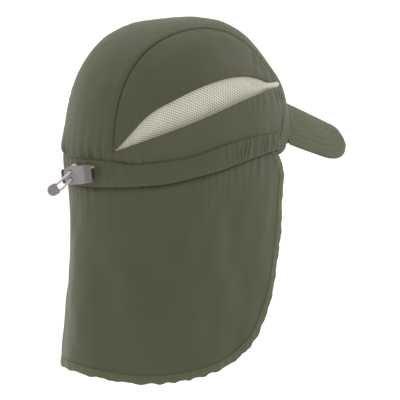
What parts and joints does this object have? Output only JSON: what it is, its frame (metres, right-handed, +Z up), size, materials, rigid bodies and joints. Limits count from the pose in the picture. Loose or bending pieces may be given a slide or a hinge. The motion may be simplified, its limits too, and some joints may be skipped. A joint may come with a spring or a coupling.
{
  "type": "legionnaire cap",
  "caption": "Sun cap with a curved peak, mesh side vents, a long neck flap and a drawcord adjuster with a cord lock at the back.",
  "frame": {"origin": "on the axis of the head opening, level with the lower edge of the casing at the back, where a head holds the cap", "axes": "+Z up along the head, -Y towards the peak, -X towards the wearer's right side"},
  "size_m": [0.1704, 0.2903, 0.306],
  "materials": {
    "crown_cloth": "thin plain-weave olive nylon with a slight sheen",
    "flap_cloth": "thin plain-weave olive nylon with a slight sheen",
    "peak_cloth": "olive nylon over a stiff board, with rows of stitches",
    "vent_mesh": "pale knitted mesh",
    "lock_plastic": "satin grey moulding",
    "plunger_plastic": "satin dark grey moulding",
    "cord": "braided grey elastic cord"
  },
  "bodies": {
    "cap": {"crown_centre_panel": "crown_cloth", "upper_side_panel_left": "crown_cloth", "upper_side_panel_right": "crown_cloth", "vent_mesh_left": "vent_mesh", "vent_mesh_right": "vent_mesh", "lower_side_panel_left": "crown_cloth", "lower_side_panel_right": "crown_cloth", "casing": "flap_cloth", "neck_flap": "flap_cloth", "neck_flap_hem": "flap_cloth", "peak": "peak_cloth", "cord_lock_body": "lock_plastic", "drawcord_right": "cord", "drawcord_left": "cord", "cord_end": "lock_plastic"},
    "plunger": {"cord_lock_plunger": "plunger_plastic"}
  },
  "joints": [
    {"name": "plunger_press", "type": "slide", "parent": "cap", "child": "plunger", "axis": [-0.9393, -0.3052, 0.1564], "range_m": [0, 0.002], "stiffness_N_per_m": 300}
  ]
}
